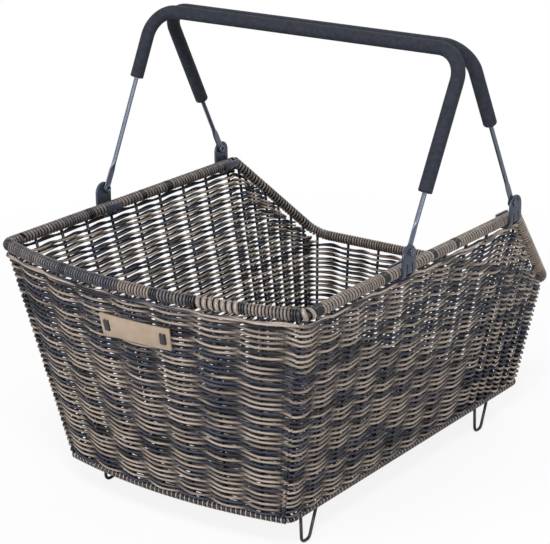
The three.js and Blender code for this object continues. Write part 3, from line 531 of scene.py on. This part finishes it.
def rowHeight(z, s, limit):
    # Level, but where the rim falls the row turns down towards it: above the start of the band it climbs at
    # only a share of its pace, and the change is eased in by an exponential.
    reach = weave["bendReach"]
    fall = np.abs(loopAt(rim, s - reach)[..., 2] - loopAt(rim, s + reach)[..., 2]) / (2 * reach)
    steep = np.clip(fall * shell["slopeRun"] / shell["slopeDrop"], 0, 1)
    start = limit - weave["band"] * steep
    over = np.maximum(z - start, 0)
    slow = weave["bandPitch"]
    eased = over * slow + (1 - slow) * weave["bandSoftness"] * (1 - np.exp(-over / weave["bandSoftness"]))
    return np.where(steep > 0, np.minimum(z, start) + eased * steep + over * (1 - steep), z)


def hopAt(phase):
    # A power of the half sine wave, less about half of its mean: the strand lies up where it comes forward
    # between two stakes, and low for the rest of the way.
    peak = ((1 - np.sin(phase)) / 2) ** weave["hopSharpness"]
    return weave["hop"] * (peak - 0.5 / math.sqrt(math.pi * weave["hopSharpness"]))


def twinedWall(name, node, sFrom, sTo, rows):
    # Each row is a pair of strands. A strand is the place at its height on the straight line up the wall,
    # moved along the wall's normal by a cosine that changes side from stake to stake; its partner is half a
    # wave on. u counts the stakes.
    dense = np.linspace(sFrom, sTo, weave["samples"])
    limit = underRim(dense)
    onSlope = (limit < shell["rimHeight"] - weave["slopeTop"]) & (limit > railZ - weave["slopeEnd"])
    bayCount = np.interp(sTo, stakeS, stakeIndex) - np.interp(sFrom, stakeS, stakeIndex)
    steps = int(round(bayCount * weave["stepsPerBay"])) + 1
    heights = np.linspace(weave["lowest"], weave["highest"], rowCount)
    centres, leans, shades, depths = [], [], [], []
    for row in rows:
        under = dense[rowHeight(heights[row], dense, limit) < limit - np.where(onSlope, cutGap[row], 0)]
        if len(under) < weave["fewestSamples"]:
            continue
        u = np.linspace(*np.interp([under[0], under[-1]], stakeS, stakeIndex), steps)
        s = np.interp(u, stakeIndex, stakeS)
        height = rowHeight(heights[row], s, underRim(s)) + readNoise(waverNoise, row, s)
        foot, top = ruling(s)
        normal = wallNormal(s)
        for strand in (0, 1):
            phase = math.pi * (u + strand)
            swing = weave["swing"] * np.cos(phase)
            if row == rowCount - 1:
                swing = weave["sweep"][0] + weave["sweep"][1] * np.cos(phase)
            share = ((height + hopAt(phase)) / top[:, 2])[:, None]
            centres.append(foot + (top - foot) * share + normal * swing[:, None])
            leans.append(normal)
            shades.append(readNoise(strandTone, 2 * row + strand, s))
            # Depth in the weave sets the painted shade on the skin that faces into it.
            depths.append(np.clip(swing / weave["swing"], -1, 1))
    wall = tubes(name, np.array(centres), np.array(leans), weave["across"], weave["along"], weave["sides"],
                 np.array(shades), np.array(depths))
    finishPiece(wall, cane, "basket", "cane", node)


frontSeam = (cornerStake + frontStakes[-1]) / 2
rearSeam = (rim["rear"] + rearStakes[0]) / 2
lowerRows, upperRows = range(rowCount // 2), range(rowCount // 2, rowCount)
twinedWall("frontTwining", "front_weave", -frontSeam, frontSeam, range(rowCount))
twinedWall("rearTwining", "rear_weave", rearSeam, mirrorS(rearSeam), range(rowCount))
for label, rows in (("Lower", lowerRows), ("Upper", upperRows)):
    twinedWall(f"right{label}Twining", "right_weave", frontSeam, rearSeam, rows)
    twinedWall(f"left{label}Twining", "left_weave", mirrorS(rearSeam), mirrorS(frontSeam), rows)
print("walls twined")

mat = {
    "edge": 2.4, "frontGap": 1.0, "pitch": 5.6, "narrowest": 25.0, "stepsPerBay": 9, "waver": 0.2,
    "toneShift": 300.0,  # each row reads its shades this much further on
}


def twinedMat():
    # The same pairs laid flat across the base wires, from side wire to side wire. Rows in the bowed front
    # reach as far as its parabola lets them.
    halfWidth = shell["baseWidth"] / 2
    wiresX = np.concatenate([[-halfWidth], baseWireX, [halfWidth]])
    bays = np.arange(len(wiresX))
    straightFrom = shell["baseSetback"] + mat["edge"]
    ys = np.arange(straightFrom - shell["baseBow"] + mat["frontGap"], baseRear - mat["edge"], mat["pitch"])
    steps = (len(wiresX) - 1) * mat["stepsPerBay"]
    centres, leans, shades, depths = [], [], [], []
    for row, y in enumerate(ys):
        reach = halfWidth - mat["edge"]
        if y < straightFrom:
            reach = reach * math.sqrt(max(0.0, 1 - (straightFrom - y) / shell["baseBow"]))
        if reach < mat["narrowest"]:
            continue
        u = np.linspace(*np.interp([-reach, reach], wiresX, bays), steps)
        x = np.interp(u, bays, wiresX)
        for strand in (0, 1):
            phase = math.pi * (u + strand)
            sway = hopAt(phase) + rng.uniform(-mat["waver"], mat["waver"])
            centres.append(np.stack([x, y + sway, weave["swing"] * np.cos(phase)], -1))
            leans.append(np.broadcast_to(vec(0, 0, 1), centres[-1].shape))
            toneRow = (2 * row + strand) % (2 * rowCount)
            shades.append(readNoise(strandTone, toneRow, x + mat["toneShift"] * row))
            # Depth in the weave sets the painted shade on the skin that faces into it.
            depths.append(np.cos(phase))
    flat = tubes("matTwining", np.array(centres), np.array(leans), weave["across"], weave["along"],
                 weave["sides"], np.array(shades), np.array(depths))
    finishPiece(flat, cane, "basket", "cane", "base_weave")


twinedMat()
print("mat twined")

# Wrapped wires
wrapping = {
    "stepsPerTurn": 14, "sides": 6, "turnShade": 0.08,
    "bandFill": 0.43,  # a turn's half width as a share of the pitch
    "clearance": 0.05, "endGap": 0.2, "sampling": 0.1, "saddleTieGap": 3.0,
    "basePitch": 2.3, "baseShades": (0.2, 0.78),
    # Runs of turns from the front round each side: where each starts in mm, its pitch and its shade. The
    # short dark ones are the ties.
    "front": [(-180, 3.4, 0.52), (-163, 2.3, 0.03), (-151, 3.3, 0.46), (-76, 2.3, 0.03), (-66, 2.9, 0.37),
              (-5, 2.9, 0.62), (27, 2.3, 0.03), (34, 3.1, 0.45), (62, 2.3, 0.03), (68, 5.4, 0.72),
              (107, 2.3, 0.03), (112, 2.9, 0.57), (149, 2.3, 0.03), (161, 5.6, 0.9), (171, 2.3, 0.03)],
    "side": [(178, 3.9, 0.68), (233, 3.2, 0.62), (267, 2.3, 0.03), (273, 4.2, 0.68), (341, 2.3, 0.1),
             (345, 3.9, 0.68), (377, 2.3, 0.03), (383, 3.8, 0.68), (440, 3.2, 0.62)],
    "slope": [(455, 3.0, 0.74), (490, 3.4, 0.78), (524, 3.1, 0.74)],
    "rail": [(560, 3.0, 0.62), (640, 3.3, 0.66), (700, 2.3, 0.1), (704, 3.0, 0.62), (800, 3.2, 0.64)],
    "leftFade": 0.8,  # the left side's share of these shades
}


def pathFrames(loop, s):
    # Centre line with its upward and its outward direction, both square to the wire.
    centre = loopAt(loop, s)
    tangent = unit(loopAt(loop, s + nearby) - loopAt(loop, s - nearby))
    outward = unit(np.cross(tangent, vec(0, 0, 1)))
    return centre, np.cross(outward, tangent), outward


def wrappedRun(name, node, loop, sFrom, sTo, sizes, groups, material):
    # One strand coiled round the wire: the centre line plus the reach times up by the cosine and outward by
    # the sine of its turns. Each group gives the place where its pitch and shade begin.
    wireRadius, outer = sizes
    starts, pitches, shades = np.array(groups, float).T
    fine = np.arange(sFrom + wrapping["endGap"], sTo - wrapping["endGap"], wrapping["sampling"])
    group = np.clip(np.searchsorted(starts, fine, side="right") - 1, 0, None)
    turnsRun = np.cumsum(wrapping["sampling"] / pitches[group])
    turns = np.linspace(turnsRun[0], turnsRun[-1], int(turnsRun[-1] * wrapping["stepsPerTurn"]))
    s = np.interp(turns, turnsRun, fine)
    pitch = np.interp(s, fine, pitches[group])
    shade = shades[group][np.searchsorted(fine, s).clip(0, len(fine) - 1)]
    shade = shade + rng.uniform(-1, 1, int(turns[-1]) + 2)[turns.astype(int)] * wrapping["turnShade"]
    centre, up, outward = pathFrames(loop, s)
    angle = 2 * math.pi * turns
    radial = up * np.cos(angle)[:, None] + outward * np.sin(angle)[:, None]
    thick = (outer - wireRadius - wrapping["clearance"]) / 2
    reach = (outer + wireRadius + wrapping["clearance"]) / 2
    halfBand = pitch * wrapping["bandFill"]
    # With depth 1, the side of each turn towards the wire gets painted shade, for the dark grooves.
    run = tubes(name, (centre + radial * reach)[None], radial[None], thick, halfBand[None], wrapping["sides"],
                shade[None])
    finishPiece(run, material, "basket", "wrapping", node)


frontTie = (cornerStake + foreStakes[0]) / 2
saddleStart = rim["lengths"][np.argmax(rim["points"][:, 1] > shell["rimLength"] - shell["saddleBend"])]
saddleTie = saddleStart - wrapping["saddleTieGap"]
railTie = rim["rear"] - shell["railBend"]
frontBaseTie = base["front"] + 2 * shell["baseBend"]
rearBaseTie = base["rear"] + 2 * shell["baseBend"]


def mirroredGroups(groups, end):
    # The same runs met from the other end.
    ends = [start for start, pitch, shade in groups[1:]] + [end]
    return [(mirrorS(last), pitch, shade * wrapping["leftFade"])
            for (start, pitch, shade), last in zip(groups, ends)][::-1]


rimSizes = (wires["rim"], wraps["rimOuter"])
baseSizes = (wires["base"], wraps["baseOuter"])
leftSlope = mirroredGroups(wrapping["slope"], railTie)
leftSide = mirroredGroups(wrapping["side"], saddleTie)
rimRuns = [("front_rim_wrap", -frontTie, frontTie, wrapping["front"]),
           ("right_rim_wrap", frontTie, saddleTie, wrapping["side"]),
           ("right_slope_wrap", saddleTie, railTie, wrapping["slope"]),
           ("rear_rail_wrap", railTie, mirrorS(railTie), wrapping["rail"]),
           ("left_slope_wrap", mirrorS(railTie), mirrorS(saddleTie), leftSlope),
           ("left_rim_wrap", mirrorS(saddleTie), mirrorS(frontTie), leftSide)]
for node, sFrom, sTo, groups in rimRuns:
    material = smoothCane if node == "right_slope_wrap" else woundCane
    wrappedRun(node.replace("_wrap", "Winding"), node, rim, sFrom, sTo, rimSizes, groups, material)
baseTurn = 2 * base["total"]
baseRuns = [("front_base_wrap", -frontBaseTie, frontBaseTie), ("right_base_wrap", frontBaseTie, rearBaseTie),
            ("rear_base_wrap", rearBaseTie, baseTurn - rearBaseTie),
            ("left_base_wrap", baseTurn - rearBaseTie, baseTurn - frontBaseTie)]
for node, sFrom, sTo in baseRuns:
    # Two strands side by side, a dark and a light one in turn.
    count = int((sTo - sFrom) / wrapping["basePitch"] / 2)
    groups = [(sFrom + (sTo - sFrom) * i / count / 2, wrapping["basePitch"], wrapping["baseShades"][i % 2])
              for i in range(2 * count)]
    wrappedRun(node.replace("_wrap", "Winding"), node, base, sFrom, sTo, baseSizes, groups, woundCane)
print("wires wrapped")

# Handles
handle = {
    "frontPivot": 136.5, "rearPivot": 306.6, "pivotRise": 15.8, "pivotX": 162.56,
    "length": 171.3, "bend": 25.0, "splay": {"front": 2.9, "rear": -1.1}, "steps": 24,
    "wire": 2.0, "wireSides": 18,
    "strapWidth": 7.8, "strapThickness": 1.6, "strapLength": 26.0, "forged": 9.0,  # the flat ends and neck
    "tipFrom": 0.12, "tipSteps": 8, "strapFrom": 2.0, "strapSteps": 22,
    "grip": 6.1, "gripSides": 32, "gripGap": 0.4, "gripEdge": 0.9, "edgeSteps": 6, "edgeRun": 4.0,
    "reach": {"front": (65.0, 121.0), "rear": (109.0, 81.0)},  # left and right, down from the bar
}
handleLean = math.asin((handle["rearPivot"] - handle["frontPivot"] - 2 * handle["grip"] - handle["gripGap"])
                       / 2 / handle["length"])


def barRoute(end):
    # Points of the bar and its two bends in the handle's own plane, x across and z up from the pivots.
    x, top = handle["pivotX"], handle["pivotX"] + handle["splay"][end]
    corners = [vec(-x, 0, handle["strapLength"]), vec(-top, 0, handle["length"]),
               vec(top, 0, handle["length"]), vec(x, 0, handle["strapLength"])]
    return bendWire(corners, [handle["bend"]] * 2, handle["steps"])[0][1:-1]


def leaned(points, end):
    # From the handle's plane to where it stands, turned about its pivots to lean in towards the other handle,
    # and the direction square to that plane.
    side = 1 if end == "front" else -1
    y = handle[f"{end}Pivot"] + side * points[:, 2] * math.sin(handleLean) + points[:, 1]
    z = shell["rimHeight"] + handle["pivotRise"] + points[:, 2] * math.cos(handleLean)
    centres = np.stack([points[:, 0], y, z], -1)[None]
    square = vec(0, math.cos(handleLean), -side * math.sin(handleLean))
    return centres, np.broadcast_to(square, centres.shape)


def handleWire(end):
    # Round wire whose ends are pressed into straps: the half width follows a circle at the tip and eases from
    # the strap's to the wire's radius at the neck, the half thickness likewise.
    half, halfThick = handle["strapWidth"] / 2, handle["strapThickness"] / 2
    tip = -half * np.cos(np.linspace(handle["tipFrom"], math.pi / 2, handle["tipSteps"]))
    leg = np.concatenate([tip, np.linspace(handle["strapFrom"], handle["strapLength"], handle["strapSteps"])])
    ends = [np.stack([sign * handle["pivotX"] + 0 * leg, 0 * leg, leg], -1) for sign in (-1, 1)]
    route = np.concatenate([ends[0], barRoute(end), ends[1][::-1]])
    z = route[:, 2]
    roundness = smoothStep(z, handle["strapLength"] - handle["forged"], handle["strapLength"])
    halfWidth = np.sqrt(half ** 2 - np.minimum(z, 0) ** 2)
    wide = halfWidth + (handle["wire"] - halfWidth) * roundness
    thin = halfThick + (handle["wire"] - halfThick) * roundness
    centres, square = leaned(route, end)
    wire = tubes(f"{end}HandleWire", centres, square, wide[None], thin[None], handle["wireSides"])
    finishPiece(wire, handleSteel, f"{end}_handle", "steel", f"{end}_handle_wire")


def gripTube(end):
    # Foam tube over the bar, both bends and part of each leg, with ends rounded by a quarter circle.
    top = handle["pivotX"] + handle["splay"][end]
    slant = handle["splay"][end] / (handle["length"] - handle["strapLength"])
    quarter = np.linspace(0, math.pi / 2, handle["edgeSteps"])
    ease = handle["gripEdge"] * (1 - np.cos(quarter))
    inset = handle["gripEdge"] * (1 - np.sin(quarter))
    legs = []
    for side, reach in zip((-1, 1), handle["reach"][end]):
        low = handle["length"] - reach
        z = np.concatenate([low + ease, [low + handle["edgeRun"]]])
        legs.append(np.stack([side * (top + slant * (z - handle["length"])), 0 * z, z], -1))
    route = np.concatenate([legs[0], barRoute(end), legs[1][::-1]])
    radius = np.full(len(route), handle["grip"])
    radius[:len(inset)] -= inset
    radius[-len(inset):] -= inset[::-1]
    centres, square = leaned(route, end)
    grip = tubes(f"{end}Grip", centres, square, radius[None], radius[None], handle["gripSides"])
    finishPiece(grip, foam, f"{end}_handle", "foam", f"{end}_grip")


edges = {"weld": 0.00002, "sharpest": 35, "segments": 2, "bracket": 0.0003, "patch": 0.0004, "tie": 0.0002}


def softenedCopy(name, source, width):
    # A merged copy of a CAD node with its edges rounded.
    mesh = nodes[source].data.copy()
    mesh.polygons.foreach_set("use_smooth", np.ones(len(mesh.polygons), bool))
    piece = bpy.data.objects.new(name, mesh)
    bpy.context.scene.collection.objects.link(piece)
    weld = piece.modifiers.new("weld", "WELD")
    weld.merge_threshold = edges["weld"]
    bevel = piece.modifiers.new("bevel", "BEVEL")
    bevel.width = width
    bevel.segments = edges["segments"]
    bevel.limit_method = "ANGLE"
    bevel.angle_limit = math.radians(edges["sharpest"])
    bevel.harden_normals = False
    return piece


rivet = {
    # Place along the rivet and radius, from the rolled head inside to the tail outside, in mm
    "profile": [(-0.1, 1.0), (-0.3, 1.25), (-1.9, 1.35), (-2.35, 1.8), (-2.45, 2.5), (-2.35, 3.3),
                (-1.9, 3.8), (-1.2, 3.9), (-1.1, 3.7), (-1.1, 2.1), (3.42, 2.1), (3.42, 3.0), (3.6, 3.2),
                (4.1, 3.2), (4.35, 2.9), (4.42, 2.3), (4.2, 1.7), (3.9, 1.5)],
    "sides": 32,
}


def turnedRivet(name, node, x, y):
    # The profile turned round an axis across the basket, with a flat cap on each end; the tail points
    # outwards.
    out = 1 if x > 0 else -1
    run, radius = np.array(rivet["profile"]).T
    count, sides = len(run), rivet["sides"]
    angle = 2 * math.pi * np.arange(sides) / sides
    z = shell["rimHeight"] + handle["pivotRise"]
    points = np.stack([np.broadcast_to((x + out * run)[:, None], (count, sides)),
                       y + radius[:, None] * np.cos(angle), z + radius[:, None] * np.sin(angle)], -1)
    index = np.arange(count * sides).reshape(count, sides)
    near, far = index[:-1], index[1:]
    quads = np.stack([near, far, np.roll(far, -1, 1), np.roll(near, -1, 1)], -1).reshape(-1, 4)
    caps = np.stack([index[0], index[-1, ::-1]])
    if out > 0:
        quads, caps = quads[:, ::-1], caps[:, ::-1]
    piece = makeMesh(name, points, np.concatenate([quads.ravel(), caps.ravel()]),
                     np.concatenate([np.full(len(quads), 4), np.full(2, sides)]))
    finishPiece(piece, bright, "basket", "rivet", node)


foot = {"wire": 1.5, "depth": 25.0, "halfTop": 11.0, "halfBottom": 5.4, "bend": 5.2, "lean": 4.5,
        "front": 55.5, "rear": 337.5, "gap": 0.32, "facets": 8, "sides": 18}


def footLoop(name, node, x, y):
    # Two leaning legs joined by a short level run that stands on the ground. The CAD wire has facets, and
    # this one is as thick as the circle inside them.
    tilt = math.atan((foot["halfTop"] + foot["lean"] - foot["halfBottom"]) / foot["depth"])
    top = -wires["base"] - foot["gap"] - foot["wire"] * math.sin(tilt)
    thin = foot["wire"] * math.cos(math.pi / foot["facets"])
    bottom = -foot["depth"] - wraps["baseOuter"] + thin
    corners = [vec(x, y - foot["halfTop"], top), vec(x, y - foot["lean"] - foot["halfBottom"], bottom),
               vec(x, y - foot["lean"] + foot["halfBottom"], bottom), vec(x, y + foot["halfTop"], top)]
    centres = bendWire(corners, [foot["bend"]] * 2, shell["bendSteps"])[0][None]
    loop = tubes(name, centres, np.broadcast_to(vec(1, 0, 0), centres.shape), thin, thin, foot["sides"])
    finishPiece(loop, steel, "basket", "steel", node)


footX = {"left": baseWireX[0], "right": shell["baseWidth"] / 2}
for end in ("front", "rear"):
    handleWire(end)
    gripTube(end)
    for side, sign in (("left", -1), ("right", 1)):
        here, place = f"{end}{side.title()}", f"{end}_{side}"
        bracket = softenedCopy(f"{here}Bracket", f"{place}_bracket", edges["bracket"])
        finishPiece(bracket, plate, "basket", "plate", f"{place}_bracket")
        turnedRivet(f"{here}Rivet", f"{place}_rivet", sign * handle["pivotX"], handle[f"{end}Pivot"])
        footLoop(f"{here}Foot", f"{place}_foot", footX[side], foot[end])

patch = softenedCopy("leatherPatch", "name_patch", edges["patch"])
finishPiece(patch, leather, "basket", "leather", "name_patch")
for side in ("left", "right"):
    tie = softenedCopy(f"{side}PatchTie", f"{side}_patch_tie", edges["tie"])
    finishPiece(tie, band, "basket", "tie", f"{side}_patch_tie")
print("handles and fittings made")

# Camera, floor and light
view = {
    "place": (0.9446, -1.3071, 0.7188), "yaw": -36.4, "pitch": 18.68, "roll": -0.55,
    "lens": 123.77, "sensor": 36.0, "farthest": 50.0,
}
stage = {
    "floorReach": 9.0, "floorColour": (0.9, 0.9, 0.9, 1), "floorRoughness": 0.9, "floorSpecular": 0.1,
    "floorWhite": 0.86, "shadowReach": (0.35, 0.9),  # the share of plain white, and where it grows to 1
    "white": (1, 1, 1, 1), "worldLight": 0.3,
    "aim": (0, 0, 0.15),
    "lamps": {  # place, size in metres and power in watts
        "keyLight": ((0.9, -1.5, 2.4), 1.0, 46.0),
        "frontLight": ((-0.8, -2.2, 0.8), 1.2, 26.0),
        "rightLight": ((2.3, -0.5, 0.8), 1.2, 14.0),
        "backLight": ((-0.2, 2.2, 2.0), 1.4, 20.0),
    },
}


def makeCamera():
    # It looks along yaw, counted from +y, and down by pitch, and is then rolled about that line.
    yaw, pitch, roll = (math.radians(view[key]) for key in ("yaw", "pitch", "roll"))
    forward = Vector((math.sin(yaw) * math.cos(pitch), math.cos(yaw) * math.cos(pitch), -math.sin(pitch)))
    right = Vector((math.cos(yaw), -math.sin(yaw), 0))
    up = right.cross(forward)
    right, up = (math.cos(roll) * right + math.sin(roll) * up, math.cos(roll) * up - math.sin(roll) * right)
    data = bpy.data.cameras.new("camera")
    data.lens = view["lens"]
    data.sensor_width = view["sensor"]
    data.sensor_fit = "HORIZONTAL"
    data.clip_end = view["farthest"]
    camera = bpy.data.objects.new("camera", data)
    camera.matrix_world = Matrix((
        (right.x, up.x, -forward.x, view["place"][0]),
        (right.y, up.y, -forward.y, view["place"][1]),
        (right.z, up.z, -forward.z, view["place"][2]),
        (0, 0, 0, 1)))
    bpy.context.scene.collection.objects.link(camera)
    bpy.context.scene.camera = camera


def makeFloor():
    reach = stage["floorReach"]
    mesh = bpy.data.meshes.new("floor")
    mesh.from_pydata([(-reach, -reach, 0), (reach, -reach, 0), (reach, reach, 0), (-reach, reach, 0)], [],
                     [(0, 1, 2, 3)])
    floor = bpy.data.objects.new("floor", mesh)
    bpy.context.scene.collection.objects.link(floor)
    material, tree, shader = newMaterial("paleFloor")
    shader.inputs["Base Color"].default_value = stage["floorColour"]
    shader.inputs["Roughness"].default_value = stage["floorRoughness"]
    shader.inputs["Specular IOR Level"].default_value = stage["floorSpecular"]
    # Seen directly it is mostly plain white and keeps a part of the shadow; further out it is all white.
    path = addNode(tree, "ShaderNodeLightPath")
    place = addNode(tree, "ShaderNodeTexCoord").outputs["Object"]
    distance = addNode(tree, "ShaderNodeVectorMath", {0: place}, operation="LENGTH")
    share = addNode(tree, "ShaderNodeMapRange", {
        "Value": distance.outputs["Value"], "From Min": stage["shadowReach"][0],
        "From Max": stage["shadowReach"][1], "To Min": stage["floorWhite"], "To Max": 1.0})
    seen = addNode(tree, "ShaderNodeMath", {0: path.outputs["Is Camera Ray"], 1: share.outputs["Result"]},
                   operation="MULTIPLY")
    white = addNode(tree, "ShaderNodeEmission", {"Color": stage["white"], "Strength": 1.0})
    mixed = addNode(tree, "ShaderNodeMixShader", {0: seen.outputs[0], 1: shader.outputs[0],
                                                  2: white.outputs[0]})
    tree.links.new(mixed.outputs[0], tree.nodes["Material Output"].inputs["Surface"])
    mesh.materials.append(material)


def makeWorld():
    # Soft white all round; seen directly or in a reflection it is plain white.
    world = bpy.data.worlds.new("studio")
    bpy.context.scene.world = world
    world.use_nodes = True
    tree = world.node_tree
    background = tree.nodes["Background"]
    path = addNode(tree, "ShaderNodeLightPath").outputs
    seen = addNode(tree, "ShaderNodeMath", {0: path["Is Camera Ray"], 1: path["Is Transmission Ray"]},
                   operation="MAXIMUM")
    seen = addNode(tree, "ShaderNodeMath", {0: seen.outputs[0], 1: path["Is Glossy Ray"]},
                   operation="MAXIMUM")
    strength = addNode(tree, "ShaderNodeMapRange", {"Value": seen.outputs[0], "To Min": stage["worldLight"],
                                                    "To Max": 1.0})
    tree.links.new(strength.outputs["Result"], background.inputs["Strength"])
    background.inputs["Color"].default_value = stage["white"]


def makeLight(name, place, size, power):
    data = bpy.data.lights.new(name, "AREA")
    data.shape = "DISK"
    data.size = size
    data.energy = power
    lamp = bpy.data.objects.new(name, data)
    lamp.location = place
    direction = Vector(stage["aim"]) - Vector(place)
    lamp.rotation_euler = direction.to_track_quat("-Z", "Y").to_euler()
    bpy.context.scene.collection.objects.link(lamp)


makeCamera()
makeFloor()
makeWorld()
for name, (place, size, power) in stage["lamps"].items():
    makeLight(name, place, size, power)
bpy.context.scene.view_settings.view_transform = "Standard"
print("stage set")
